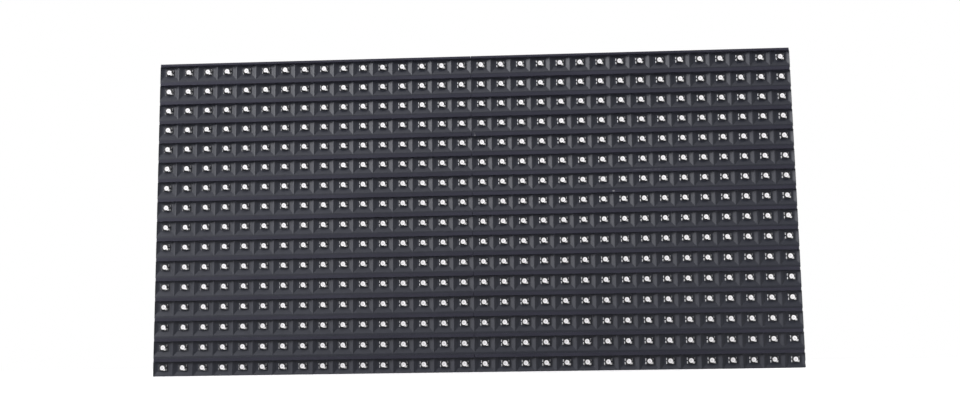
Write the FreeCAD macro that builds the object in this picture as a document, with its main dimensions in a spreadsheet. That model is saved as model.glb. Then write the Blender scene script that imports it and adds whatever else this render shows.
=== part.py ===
import FreeCAD, Part
import Sketcher
import os

# An outdoor RGB LED matrix panel: 32 by 16 pixels, 10 mm apart, in a moulded case.
#
# X runs to the right and Z up, as the panel hangs, and the front faces -Y. The origin is
# the middle of the six threaded inserts, on the plane where they meet the cabinet. All
# lengths are millimetres. A height is counted from that plane towards the front, so a
# height of 12 lies at y = -12.

DRIVING_SIZES = [
    ("led_pitch", 10, "from one pixel to the next, both ways"),
    ("led_columns", 32, "pixels along the panel"),
    ("led_rows", 16, "pixels up the panel"),
    ("tile_gap_length", 0.5, "how much shorter the case is than its share of the wall"),
    ("tile_gap_height", 1.6, "how much lower the case is than its share of the wall"),

    ("frame_depth", 12.1, "mounting plane to the back of the circuit board"),
    ("board_thickness", 1.6, "circuit board"),
    ("board_clearance", 0.15, "gap between the board's edge and the frame's wall"),
    ("wall_thickness", 1.6, "frame's outer wall, round the board"),
    ("wall_draft", 0.5, "degrees that the outer wall leans in towards the back"),
    ("ledge_width", 2, "step inside the wall that carries the board's edge"),
    ("floor_thickness", 3, "lattice at the frame's back"),
    ("flange_width", 16.5, "lattice strip round the edge"),
    ("strip_width", 12, "lattice strips across the middle"),
    ("rib_thickness", 2, "ribs that stand on the strips and carry the board"),
    ("windows_across", 4, "openings in the lattice along the panel"),
    ("windows_up", 2, "openings in the lattice up the panel"),

    ("insert_inset_length", 11.75, "insert centre to the end of the case"),
    ("insert_inset_height", 11.2, "insert centre to the long edge of the case"),
    ("inserts_across", 3, "inserts along the panel"),
    ("inserts_up", 2, "inserts up the panel"),
    ("insert_flats", 7, "brass insert across its flats"),
    ("insert_length", 8, "brass insert"),
    ("insert_bore", 1.65, "radius of the M4 thread's core"),
    ("boss_side", 10.4, "square boss that holds an insert"),
    ("boss_roof", 1.4, "plastic left in front of an insert"),

    ("screw_well", 8, "side of the square well round a screw head"),
    ("screw_well_depth", 1.8, "the same, below the lattice's face"),
    ("screw_post", 7, "side of the post that a screw runs up"),
    ("screw_inset", 10.3, "screw centre to the edge of the case"),

    ("groove_inset", 1.7, "edge of the case to the seal's groove"),
    ("groove_width", 2.5, "groove for the seal"),
    ("groove_depth", 2, "groove for the seal"),
    ("seal_proud", 0.6, "how far the seal stands out of its groove"),

    ("seam_gap", 0.2, "between the two halves of the mask"),
    ("window_half", 2.5, "half the width of a pixel's window, at the board"),
    ("window_below", 2, "pixel centre to the window's lower edge"),
    ("window_above", 2.95, "pixel centre to the window's upper edge"),
    ("ridge_height", 1.3, "ridges between the columns, above the board"),
    ("ridge_relief", 0.3, "gap under the ridges, for the sealing compound"),
    ("plate_height", 1.4, "flat land under each row, above the board"),
    ("land_width", 1.05, "flat land under each row"),
    ("louvre_height", 4.3, "front edge of the louvre blades, above the board"),
    ("louvre_thickness", 1.65, "louvre blade, from its top to its underside"),
    ("louvre_draft", 0.1, "how much the blade thins towards its front edge"),
    ("end_setback", 0.85, "how far a blade's front corner lies inside the case's end"),
    ("rim_setback", 0.2, "the same at the top edge"),

    ("led_length", 3.5, "LED package, along the panel"),
    ("led_width", 2.8, "LED package, up the panel"),
    ("led_height", 2.8, "LED package, above the board"),

    ("driver_length", 8.65, "LED driver chip, up the panel"),
    ("driver_width", 3.9, "LED driver chip, along the panel"),
    ("driver_height", 1.5, "LED driver chip, off the board"),
    ("driver_spacing", 30, "between the two driver chips that show in one window"),
    ("driver_offset", 14, "driver rows from the middle of their windows"),
    ("logic_offset", 9, "the other parts above the middle of the lower windows"),

    ("switch_length", 4.9, "row switch chip, up the panel"),
    ("switch_width", 3.9, "row switch chip, along the panel"),
    ("switch_height", 1.5, "row switch chip, off the board"),
    ("switch_spacing_length", 11, "between row switch chips, along the panel"),
    ("switch_spacing_height", 10, "between row switch chips, up the panel"),
    ("switch_shift", 13, "row switch chips from the middle of their window"),

    ("decoder_length", 9.9, "row decoder chip, up the panel"),
    ("decoder_width", 3.9, "row decoder chip, along the panel"),
    ("decoder_height", 1.5, "row decoder chip, off the board"),
    ("decoder_shift", 14, "row decoder chip from the middle of its window"),

    ("buffer_length", 12.8, "signal buffer chip, up the panel"),
    ("buffer_width", 7.5, "signal buffer chip, along the panel"),
    ("buffer_height", 2.3, "signal buffer chip, off the board"),
    ("buffer_shift", 15, "signal buffer chip from the middle of its window"),

    ("capacitor_radius", 4, "capacitor can"),
    ("capacitor_height", 9.5, "capacitor can, off the board"),
    ("capacitor_spacing", 11, "between the two cans"),
    ("capacitor_shift", 19, "cans from the middle of their window"),

    ("header_length", 27.9, "data header, up the panel"),
    ("header_width", 8.8, "data header, along the panel"),
    ("header_height", 9.1, "data header, off the board"),
    ("header_wall", 1.2, "data header's shroud"),
    ("header_floor", 2.4, "data header's floor"),
    ("header_notch", 4.5, "key notch in the shroud"),
    ("header_shift", 12, "data header from the middle of its window"),
    ("header_pins", 8, "pins in each of the header's two lines"),
    ("header_pin_pitch", 2.54, "between the header's pins"),
    ("header_pin_side", 0.64, "square pin"),
    ("header_pin_height", 5.6, "pin above the header's floor"),

    ("power_length", 16.2, "power header, along the panel"),
    ("power_width", 8.5, "power header, up the panel"),
    ("power_base", 3.4, "power header's base, off the board"),
    ("power_back", 1.6, "thickness of its locking wall"),
    ("power_back_height", 9, "its locking wall, off the board"),
    ("power_shift", 6, "power header from the middle of its window"),
    ("power_pins", 4, "pins in the power header"),
    ("power_pin_pitch", 3.96, "between the power header's pins"),
    ("power_pin_side", 1.14, "square pin"),
    ("power_pin_height", 5.4, "pin above the power header's base"),
]

# Heights and lengths that follow from the sizes above.
CASE_LENGTH = "(sizes.led_columns * sizes.led_pitch - sizes.tile_gap_length)"
CASE_HEIGHT = "(sizes.led_rows * sizes.led_pitch - sizes.tile_gap_height)"
CASE_END = f"({CASE_LENGTH} / 2)"
CASE_TOP = f"({CASE_HEIGHT} / 2)"
BOARD_BACK = "sizes.frame_depth"
BOARD_FRONT = "(sizes.frame_depth + sizes.board_thickness)"
LAND = f"({BOARD_FRONT} + sizes.plate_height)"
RIDGE_BACK = f"({BOARD_FRONT} + sizes.ridge_relief)"
BLADE_FRONT = f"({BOARD_FRONT} + sizes.louvre_height)"

# The highest row of pixels, and the mask's section below it.
TOP_ROW = "((sizes.led_rows - 1) / 2 * sizes.led_pitch)"
BLADE_BOTTOM = "(sizes.led_pitch - sizes.window_above)"
BLADE_TOP = f"({BLADE_BOTTOM} - sizes.louvre_thickness)"
SLOPE_END = f"({BLADE_TOP} - sizes.land_width)"
DIVIDER_HALF = "(sizes.led_pitch / 2 - sizes.window_half)"

# The lattice: its windows and the distance from one to the next.
WINDOW_LENGTH = (f"(({CASE_LENGTH} - 2 * sizes.flange_width"
                 " - (sizes.windows_across - 1) * sizes.strip_width) / sizes.windows_across)")
WINDOW_HEIGHT = (f"(({CASE_HEIGHT} - 2 * sizes.flange_width"
                 " - (sizes.windows_up - 1) * sizes.strip_width) / sizes.windows_up)")
WINDOW_STEP = f"({WINDOW_LENGTH} + sizes.strip_width)"
WINDOW_RISE = f"({WINDOW_HEIGHT} + sizes.strip_width)"
INNER_WINDOW = f"({WINDOW_STEP} / 2)"
OUTER_WINDOW = f"({WINDOW_STEP} * 3 / 2)"
UPPER_WINDOW = f"({WINDOW_RISE} / 2)"
LOGIC_LINE = f"(sizes.logic_offset - {UPPER_WINDOW})"

# The lower left insert and the distance from one to the next.
INSERT_CORNER = (f"(sizes.insert_inset_length - {CASE_END})",
                 f"(sizes.insert_inset_height - {CASE_TOP})")
INSERT_STEP = (f"(({CASE_LENGTH} - 2 * sizes.insert_inset_length)"
               " / (sizes.inserts_across - 1))")
INSERT_RISE = f"(({CASE_HEIGHT} - 2 * sizes.insert_inset_height) / (sizes.inserts_up - 1))"


def make_sheet(doc):
    """The sheet that holds every driving size under its own name."""
    sheet = doc.addObject("Spreadsheet::Sheet", "sizes")
    for row, (alias, value, note) in enumerate(DRIVING_SIZES, start=1):
        sheet.set(f"A{row}", alias)
        sheet.set(f"B{row}", str(value))
        sheet.set(f"C{row}", note)
        sheet.setAlias(f"B{row}", alias)
    doc.recompute()
    return sheet


def make_body(doc, name):
    """An empty piece. Several separate solids may share it."""
    body = doc.addObject("PartDesign::Body", name)
    body.Label = name
    body.AllowCompound = True
    return body


def origin_feature(body, role):
    """One of the piece's own planes or axes."""
    return next(item for item in body.Origin.OriginFeatures if item.Role == role)


def new_sketch(body, name, plane, height):
    """A sketch on one of the piece's planes, moved along that plane's normal."""
    sketch = body.newObject("Sketcher::SketchObject", name)
    sketch.AttachmentSupport = [(origin_feature(body, plane), "")]
    sketch.MapMode = "FlatFace"
    if height:
        sketch.setExpression("AttachmentOffset.Base.z", height)
    return sketch


def place_point(sketch, line, point, place):
    """Hold a point of a line, or a circle's centre, at its distances from the origin."""
    for kind, text in zip(("DistanceX", "DistanceY"), place):
        value = float(sketch.evalExpression(text))
        hold = Sketcher.Constraint(kind, -1, 1, line, point, value)
        number = sketch.addConstraint(hold)
        sketch.setExpression(f"Constraints[{number}]", text)


def draw(body, name, loops, plane="XZ_Plane", height=None):
    """A sketch of closed outlines, each a list of corners (across, up)."""
    sketch = new_sketch(body, name, plane, height)
    for corners in loops:
        points = [FreeCAD.Vector(*(float(sketch.evalExpression(text)) for text in corner))
                  for corner in corners]
        first = sketch.GeometryCount
        for number, point in enumerate(points):
            following = points[(number + 1) % len(points)]
            sketch.addGeometry(Part.LineSegment(point, following), False)
        for number, corner in enumerate(corners):
            before = first + (number - 1) % len(corners)
            join = Sketcher.Constraint("Coincident", before, 2, first + number, 1)
            sketch.addConstraint(join)
            place_point(sketch, first + number, 1, corner)
    return sketch


def draw_circles(body, name, centres, radius, height=None):
    """A sketch of equal circles, seen from the front."""
    sketch = new_sketch(body, name, "XZ_Plane", height)
    for centre in centres:
        point = FreeCAD.Vector(*(float(sketch.evalExpression(text)) for text in centre))
        size = float(sketch.evalExpression(radius))
        circle = sketch.addGeometry(Part.Circle(point, FreeCAD.Vector(0, 0, 1), size), False)
        place_point(sketch, circle, 3, centre)
        number = sketch.addConstraint(Sketcher.Constraint("Radius", circle, size))
        sketch.setExpression(f"Constraints[{number}]", radius)
    return sketch


def rectangle(left, bottom, right, top):
    """The corners of an upright rectangle."""
    return [(left, bottom), (right, bottom), (right, top), (left, top)]


def centred(half_length, half_height):
    """A rectangle about the origin."""
    return rectangle(f"-{half_length}", f"-{half_height}", half_length, half_height)


def about(centre, length, height):
    """A rectangle of a given length and height about a centre."""
    across, up = centre
    return rectangle(f"{across} - {length} / 2", f"{up} - {height} / 2",
                     f"{across} + {length} / 2", f"{up} + {height} / 2")


def hexagon(centre, flats):
    """A regular hexagon with two of its corners to the left and right."""
    across, up = centre
    corner = f"{flats} / sqrt(3)"
    return [(f"{across} + {corner}", f"{up} + 0"),
            (f"{across} + {corner} / 2", f"{up} + {flats} / 2"),
            (f"{across} - {corner} / 2", f"{up} + {flats} / 2"),
            (f"{across} - {corner}", f"{up} + 0"),
            (f"{across} - {corner} / 2", f"{up} - {flats} / 2"),
            (f"{across} + {corner} / 2", f"{up} - {flats} / 2")]


def extrude(body, sketch, kind, length, backwards=False):
    """A pad or a pocket of a sketch."""
    feature = body.newObject(f"PartDesign::{kind}", f"{sketch.Name}_{kind.lower()}")
    feature.Profile = sketch
    feature.setExpression("Length", length)
    feature.Reversed = backwards
    body.Tip = feature
    return feature


def repeat(body, feature, axis, count, step, backwards=False):
    """Copies of a feature in a line, equal steps apart."""
    pattern = body.newObject("PartDesign::LinearPattern", f"{feature.Name}_row")
    pattern.Originals = [feature]
    pattern.Direction = (origin_feature(body, axis), [""])
    pattern.Reversed = backwards
    pattern.setExpression("Length", f"({count} - 1) * {step}")
    pattern.setExpression("Occurrences", count)
    body.Tip = pattern
    return pattern


def repeat_both_ways(body, feature, across, step_across, up, step_up):
    """Copies of a feature in a grid, to the right and upwards."""
    pattern = repeat(body, feature, "X_Axis", across, step_across)
    pattern.Direction2 = (origin_feature(body, "Z_Axis"), [""])
    pattern.setExpression("Length2", f"({up} - 1) * {step_up}")
    pattern.setExpression("Occurrences2", up)
    return pattern


def repeat_at_inserts(body, feature):
    """Copies of a feature from the lower left insert to the other five."""
    return repeat_both_ways(body, feature, "sizes.inserts_across", INSERT_STEP,
                            "sizes.inserts_up", INSERT_RISE)


def louvre_section():
    """The mask from the first row's window down to the second's, as (depth, up)."""
    return [(f"-{BOARD_FRONT}", f"{TOP_ROW} - sizes.window_below"),
            (f"-{LAND}", f"{TOP_ROW} - {SLOPE_END}"),
            (f"-{LAND}", f"{TOP_ROW} - {BLADE_TOP}"),
            (f"-{BLADE_FRONT}", f"{TOP_ROW} - {BLADE_TOP} - sizes.louvre_draft"),
            (f"-{BLADE_FRONT}", f"{TOP_ROW} - {BLADE_BOTTOM}"),
            (f"-{BOARD_FRONT}", f"{TOP_ROW} - {BLADE_BOTTOM}")]


def top_section():
    """The blade over the first row, cut short by the case's top edge."""
    underside = f"{TOP_ROW} + sizes.window_above"
    return [(f"-{BOARD_FRONT}", CASE_TOP),
            (f"-{BLADE_FRONT}", f"{CASE_TOP} - sizes.rim_setback"),
            (f"-{BLADE_FRONT}", underside),
            (f"-{BOARD_FRONT}", underside)]


def bottom_section():
    """The slope under the last row, cut short by the case's bottom edge."""
    run = f"({CASE_TOP} - {TOP_ROW} - sizes.window_below)"
    whole_run = f"({SLOPE_END} - sizes.window_below)"
    edge_height = f"min(sizes.plate_height; sizes.plate_height * {run} / {whole_run})"
    return [(f"-{BOARD_FRONT}", f"-{TOP_ROW} - sizes.window_below"),
            (f"-{BOARD_FRONT} - {edge_height}", f"-{CASE_TOP}"),
            (f"-{BOARD_FRONT}", f"-{CASE_TOP}")]


def half_divider(middle, side, gap):
    """Half of a ridge, cut off a little before the middle, as (across, depth)."""
    cut = f"{middle} {side} {gap}"
    height = f"(sizes.ridge_height - sizes.ridge_relief) * (1 - {gap} / {DIVIDER_HALF})"
    return [(f"{middle} {side} {DIVIDER_HALF}", f"-{RIDGE_BACK}"),
            (cut, f"-{RIDGE_BACK}"),
            (cut, f"-{RIDGE_BACK} - {height}")]


def make_mask_half(doc, name):
    """The left half of the louvred mask: ridges between the columns, a blade over each row."""
    body = make_body(doc, name)
    divider_top = f"(({TOP_ROW} + sizes.window_above + {CASE_TOP}) / 2)"
    divider_length = f"({divider_top} + {CASE_TOP})"
    half_length = f"({CASE_END} - sizes.seam_gap / 2)"
    middle = "-sizes.led_pitch"
    ridge = draw(body, "ridge", [[
        (f"{middle} - {DIVIDER_HALF}", f"-{RIDGE_BACK}"),
        (f"{middle} + {DIVIDER_HALF}", f"-{RIDGE_BACK}"),
        (middle, f"-{BOARD_FRONT} - sizes.ridge_height")]], "XY_Plane", f"-{CASE_TOP}")
    ridge_pad = extrude(body, ridge, "Pad", divider_length)
    repeat(body, ridge_pad, "X_Axis", "(sizes.led_columns / 2 - 1)", "sizes.led_pitch", True)
    end = "-sizes.led_columns / 2 * sizes.led_pitch"
    end_ridges = draw(body, "end_ridges", [
        half_divider("0", "-", "sizes.seam_gap / 2"),
        half_divider(end, "+", "sizes.tile_gap_length / 2")], "XY_Plane", f"-{CASE_TOP}")
    extrude(body, end_ridges, "Pad", divider_length)
    edge_bars = draw(body, "edge_bars", [top_section(), bottom_section()],
                     "YZ_Plane", "-sizes.seam_gap / 2")
    extrude(body, edge_bars, "Pad", half_length, True)
    louvre = draw(body, "louvre", [louvre_section()], "YZ_Plane", "-sizes.seam_gap / 2")
    louvre_pad = extrude(body, louvre, "Pad", half_length, True)
    repeat(body, louvre_pad, "Z_Axis", "(sizes.led_rows - 1)", "sizes.led_pitch", True)
    setback = draw(body, "setback", [[
        (f"-{CASE_END}", f"-{BLADE_FRONT}"),
        (f"-{CASE_END} + sizes.end_setback", f"-{BLADE_FRONT}"),
        (f"-{CASE_END}", f"-{LAND}")]], "XY_Plane", f"-{CASE_TOP}")
    extrude(body, setback, "Pocket", CASE_HEIGHT, True)
    return body


def make_mirrored(doc, name, source):
    """The same piece on the other side of the panel's middle."""
    other = doc.addObject("Part::Mirroring", name)
    other.Label = name
    other.Source = source
    other.Base = FreeCAD.Vector(0, 0, 0)
    other.Normal = FreeCAD.Vector(1, 0, 0)
    return other


def make_led_row(doc, row):
    """One line of LED packages across the panel, counted from the top."""
    body = make_body(doc, f"led_row_{row + 1:02d}")
    package = draw(body, "package", [centred("sizes.led_length / 2", "sizes.led_width / 2")])
    package_pad = extrude(body, package, "Pad", "sizes.led_height")
    repeat(body, package_pad, "X_Axis", "sizes.led_columns", "sizes.led_pitch")
    body.setExpression("Placement.Base.x", "-(sizes.led_columns - 1) / 2 * sizes.led_pitch")
    body.setExpression("Placement.Base.y", f"-{BOARD_FRONT}")
    body.setExpression("Placement.Base.z", f"{TOP_ROW} - {row} * sizes.led_pitch")
    return body


def make_board(doc):
    """The circuit board, in the frame's seat."""
    body = make_body(doc, "circuit_board")
    inset = "sizes.wall_thickness - sizes.board_clearance"
    outline = draw(body, "outline", [centred(f"({CASE_END} - {inset})", f"({CASE_TOP} - {inset})")],
                   height=BOARD_BACK)
    extrude(body, outline, "Pad", "sizes.board_thickness")
    return body


def screw_places():
    """The mask screws: four to each half, on the strips and in the middle of the ends."""
    across = WINDOW_STEP
    end = f"({CASE_END} - sizes.screw_inset)"
    top = f"({CASE_TOP} - sizes.screw_inset)"
    places = [(f"{side}{x}", "0") for side in ("", "-") for x in (across, end)]
    return places + [(x, z) for x in (across, f"-{across}") for z in (top, f"-{top}")]


def make_frame(doc):
    """The moulded tray behind the board: wall, ledge, ribs, bosses and lattice floor."""
    body = make_body(doc, "rear_frame")
    rib_height = f"({BOARD_BACK} - sizes.floor_thickness)"
    block = draw(body, "block", [centred(CASE_END, CASE_TOP)], height=BOARD_FRONT)
    shell = extrude(body, block, "Pad", BOARD_FRONT, True)
    shell.setExpression("TaperAngle", "-sizes.wall_draft")
    wall_end = f"({CASE_END} - sizes.wall_thickness)"
    wall_top = f"({CASE_TOP} - sizes.wall_thickness)"
    seat = draw(body, "board_seat", [centred(wall_end, wall_top)], height=BOARD_FRONT)
    extrude(body, seat, "Pocket", "sizes.board_thickness")
    hollow = draw(body, "hollow", [centred(f"({wall_end} - sizes.ledge_width)",
                                           f"({wall_top} - sizes.ledge_width)")],
                  height=BOARD_BACK)
    extrude(body, hollow, "Pocket", rib_height)

    half_rib = "sizes.rib_thickness / 2"
    first_rib = f"-(sizes.windows_across / 2 - 1) * {WINDOW_STEP}"
    upright = draw(body, "upright_rib", [rectangle(f"{first_rib} - {half_rib}", f"-{wall_top}",
                                                   f"{first_rib} + {half_rib}", wall_top)],
                   height="sizes.floor_thickness")
    upright_pad = extrude(body, upright, "Pad", rib_height)
    repeat(body, upright_pad, "X_Axis", "(sizes.windows_across - 1)", WINDOW_STEP)
    cross = draw(body, "cross_rib", [centred(wall_end, half_rib)], height="sizes.floor_thickness")
    extrude(body, cross, "Pad", rib_height)
    posts = draw(body, "screw_posts",
                 [about(place, "sizes.screw_post", "sizes.screw_post") for place in screw_places()],
                 height="sizes.floor_thickness")
    extrude(body, posts, "Pad", rib_height)

    boss = draw(body, "boss", [about(INSERT_CORNER, "sizes.boss_side", "sizes.boss_side")])
    boss_pad = extrude(body, boss, "Pad", "sizes.insert_length + sizes.boss_roof")
    repeat_at_inserts(body, boss_pad)

    window = draw(body, "window", [rectangle(
        f"sizes.flange_width - {CASE_END}", f"sizes.flange_width - {CASE_TOP}",
        f"sizes.flange_width - {CASE_END} + {WINDOW_LENGTH}",
        f"sizes.flange_width - {CASE_TOP} + {WINDOW_HEIGHT}")], height="sizes.floor_thickness")
    window_cut = extrude(body, window, "Pocket", "sizes.floor_thickness")
    repeat_both_ways(body, window_cut, "sizes.windows_across", WINDOW_STEP,
                     "sizes.windows_up", WINDOW_RISE)

    seat = draw(body, "insert_seat", [hexagon(INSERT_CORNER, "sizes.insert_flats")])
    seat_cut = extrude(body, seat, "Pocket", "sizes.insert_length", True)
    repeat_at_inserts(body, seat_cut)
    wells = draw(body, "screw_wells",
                 [about(place, "sizes.screw_well", "sizes.screw_well") for place in screw_places()])
    extrude(body, wells, "Pocket", "sizes.screw_well_depth", True)
    groove = draw(body, "groove", seal_outline())
    extrude(body, groove, "Pocket", "sizes.groove_depth", True)
    return body


def seal_outline():
    """The outer and inner edges of the seal's groove."""
    outer = "sizes.groove_inset"
    inner = "(sizes.groove_inset + sizes.groove_width)"
    return [centred(f"({CASE_END} - {edge})", f"({CASE_TOP} - {edge})") for edge in (outer, inner)]


def make_seal(doc):
    """The rubber seal, from the bottom of its groove to a little past the mounting plane."""
    body = make_body(doc, "sealing_gasket")
    ring = draw(body, "ring", seal_outline(), height="sizes.groove_depth")
    extrude(body, ring, "Pad", "sizes.groove_depth + sizes.seal_proud", True)
    return body


def make_inserts(doc):
    """The brass inserts, three along each long edge."""
    body = make_body(doc, "cabinet_inserts")
    nut = draw(body, "nut", [hexagon(INSERT_CORNER, "sizes.insert_flats")])
    nut_pad = extrude(body, nut, "Pad", "sizes.insert_length")
    repeat_at_inserts(body, nut_pad)
    bore = draw_circles(body, "bore", [INSERT_CORNER], "sizes.insert_bore")
    bore_cut = extrude(body, bore, "Pocket", "sizes.insert_length", True)
    repeat_at_inserts(body, bore_cut)
    return body


def make_blocks(doc, name, places, length, width, height):
    """Chips of one kind on the back of the board."""
    body = make_body(doc, name)
    outlines = draw(body, "outlines", [about(place, width, length) for place in places],
                    height=BOARD_BACK)
    extrude(body, outlines, "Pad", height, True)
    return body


def make_chips(doc):
    """Every chip: three rows of LED drivers, row switches, the decoder and two buffers."""
    columns = [f"({side}{window} {turn} sizes.driver_spacing / 2)"
               for side in ("-", "") for window in (OUTER_WINDOW, INNER_WINDOW)
               for turn in ("-", "+")]
    lines = {"red_driver_chips": f"({UPPER_WINDOW} + sizes.driver_offset)",
             "green_driver_chips": f"({UPPER_WINDOW} - sizes.driver_offset)",
             "blue_driver_chips": f"(-{UPPER_WINDOW} - sizes.driver_offset)"}
    chips = [make_blocks(doc, name, [(column, line) for column in columns],
                         "sizes.driver_length", "sizes.driver_width", "sizes.driver_height")
             for name, line in lines.items()]
    switches = [(f"(-{INNER_WINDOW} - sizes.switch_shift {side} sizes.switch_spacing_length / 2)",
                 f"({LOGIC_LINE} {way} sizes.switch_spacing_height / 2)")
                for side in "+-" for way in "+-"]
    chips.append(make_blocks(doc, "row_switch_chips", switches,
                             "sizes.switch_length", "sizes.switch_width", "sizes.switch_height"))
    decoder = [(f"(-{INNER_WINDOW} + sizes.decoder_shift)", LOGIC_LINE)]
    chips.append(make_blocks(doc, "row_decoder_chip", decoder, "sizes.decoder_length",
                             "sizes.decoder_width", "sizes.decoder_height"))
    buffers = [(f"(sizes.buffer_shift - {OUTER_WINDOW})", LOGIC_LINE),
               (f"({OUTER_WINDOW} - sizes.buffer_shift)", LOGIC_LINE)]
    chips.append(make_blocks(doc, "signal_buffer_chips", buffers,
                             "sizes.buffer_length", "sizes.buffer_width", "sizes.buffer_height"))
    return chips


def make_capacitors(doc):
    """Two capacitor cans beside the power header."""
    body = make_body(doc, "bulk_capacitors")
    centres = [(f"({INNER_WINDOW} - sizes.capacitor_shift)",
                f"({LOGIC_LINE} {way} sizes.capacitor_spacing / 2)") for way in "+-"]
    cans = draw_circles(body, "cans", centres, "sizes.capacitor_radius", BOARD_BACK)
    extrude(body, cans, "Pad", "sizes.capacitor_height", True)
    return body


def make_data_header(doc, name, side):
    """A shrouded header with a key notch in the wall that faces the panel's middle."""
    body = make_body(doc, f"{name}_header")
    across = f"({side}({OUTER_WINDOW} + sizes.header_shift))"
    centre = (across, LOGIC_LINE)
    shroud = draw(body, "shroud", [about(centre, "sizes.header_width", "sizes.header_length")],
                  height=BOARD_BACK)
    extrude(body, shroud, "Pad", "sizes.header_height", True)
    depth = "(sizes.header_height - sizes.header_floor)"
    tip = f"({BOARD_BACK} - sizes.header_height)"
    cavity = draw(body, "cavity", [about(centre, "(sizes.header_width - 2 * sizes.header_wall)",
                                         "(sizes.header_length - 2 * sizes.header_wall)")],
                  height=tip)
    extrude(body, cavity, "Pocket", depth, True)
    inward = "-" if side == "" else "+"
    wall = f"({across} {inward} (sizes.header_width - sizes.header_wall) / 2)"
    notch = draw(body, "notch", [about((wall, LOGIC_LINE), "sizes.header_wall",
                                       "sizes.header_notch")], height=tip)
    extrude(body, notch, "Pocket", depth, True)
    return body


def make_data_pins(doc, name, side):
    """Two lines of square pins that stand on the header's floor."""
    body = make_body(doc, f"{name}_pins")
    across = f"{side}({OUTER_WINDOW} + sizes.header_shift)"
    first_up = f"({LOGIC_LINE} - (sizes.header_pins - 1) / 2 * sizes.header_pin_pitch)"
    first = (f"({across} - sizes.header_pin_pitch / 2)", first_up)
    pin = draw(body, "pin", [about(first, "sizes.header_pin_side", "sizes.header_pin_side")],
               height=f"{BOARD_BACK} - sizes.header_floor")
    pin_pad = extrude(body, pin, "Pad", "sizes.header_pin_height", True)
    repeat_both_ways(body, pin_pad, "2", "sizes.header_pin_pitch",
                     "sizes.header_pins", "sizes.header_pin_pitch")
    return body


def make_power_header(doc):
    """The power header: a low base with a locking wall along its upper side."""
    body = make_body(doc, "power_header")
    left = f"({INNER_WINDOW} + sizes.power_shift - sizes.power_length / 2)"
    bottom = f"({LOGIC_LINE} - sizes.power_width / 2)"
    top = f"({LOGIC_LINE} + sizes.power_width / 2)"
    section = draw(body, "section", [[
        (f"-{BOARD_BACK}", bottom), (f"sizes.power_base - {BOARD_BACK}", bottom),
        (f"sizes.power_base - {BOARD_BACK}", f"{top} - sizes.power_back"),
        (f"sizes.power_back_height - {BOARD_BACK}", f"{top} - sizes.power_back"),
        (f"sizes.power_back_height - {BOARD_BACK}", top), (f"-{BOARD_BACK}", top)]],
        "YZ_Plane", left)
    extrude(body, section, "Pad", "sizes.power_length")
    return body


def make_power_pins(doc):
    """Four square pins on the power header's base."""
    body = make_body(doc, "power_pins")
    first_across = (f"({INNER_WINDOW} + sizes.power_shift"
                    " - (sizes.power_pins - 1) / 2 * sizes.power_pin_pitch)")
    up = f"({LOGIC_LINE} - sizes.power_back / 2)"
    pin = draw(body, "pin", [about((first_across, up), "sizes.power_pin_side",
                                   "sizes.power_pin_side")],
               height=f"{BOARD_BACK} - sizes.power_base")
    pin_pad = extrude(body, pin, "Pad", "sizes.power_pin_height", True)
    repeat(body, pin_pad, "X_Axis", "sizes.power_pins", "sizes.power_pin_pitch")
    return body


def make_panel(doc, sheet):
    """Every piece of the panel, from the mask to the seal."""
    left = make_mask_half(doc, "mask_left")
    pieces = [left, make_mirrored(doc, "mask_right", left), make_board(doc)]
    pieces += [make_led_row(doc, row) for row in range(int(sheet.led_rows))]
    pieces += [make_frame(doc), make_seal(doc), make_inserts(doc)]
    pieces += make_chips(doc)
    pieces += [make_capacitors(doc), make_power_header(doc), make_power_pins(doc)]
    for name, side in (("data_in", ""), ("data_out", "-")):
        pieces += [make_data_header(doc, name, side), make_data_pins(doc, name, side)]
    return pieces


def check(doc, pieces):
    """Stop if a feature failed or a piece isn't sound."""
    for item in doc.Objects:
        if "Invalid" in item.State or "Error" in item.State:
            raise RuntimeError(f"{item.Name} failed: {item.State}")
    for piece in pieces:
        if piece.Shape.isNull() or not piece.Shape.isValid():
            raise RuntimeError(f"{piece.Label} has no sound shape")


def main():
    doc = FreeCAD.newDocument("led_matrix_panel")
    sheet = make_sheet(doc)
    pieces = make_panel(doc, sheet)
    doc.recompute()
    check(doc, pieces)
    os.makedirs("parts", exist_ok=True)
    for piece in pieces:
        piece.Shape.exportStep(os.path.join("parts", f"{piece.Label}.step"))
        print(piece.Label, len(piece.Shape.Solids), round(piece.Shape.Volume, 1))


main()
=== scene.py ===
"""An outdoor RGB LED matrix panel, dressed for a photograph: LED packages, mask plastic, back."""

import math

import bpy
import numpy as np
from mathutils import Matrix, Vector

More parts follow.
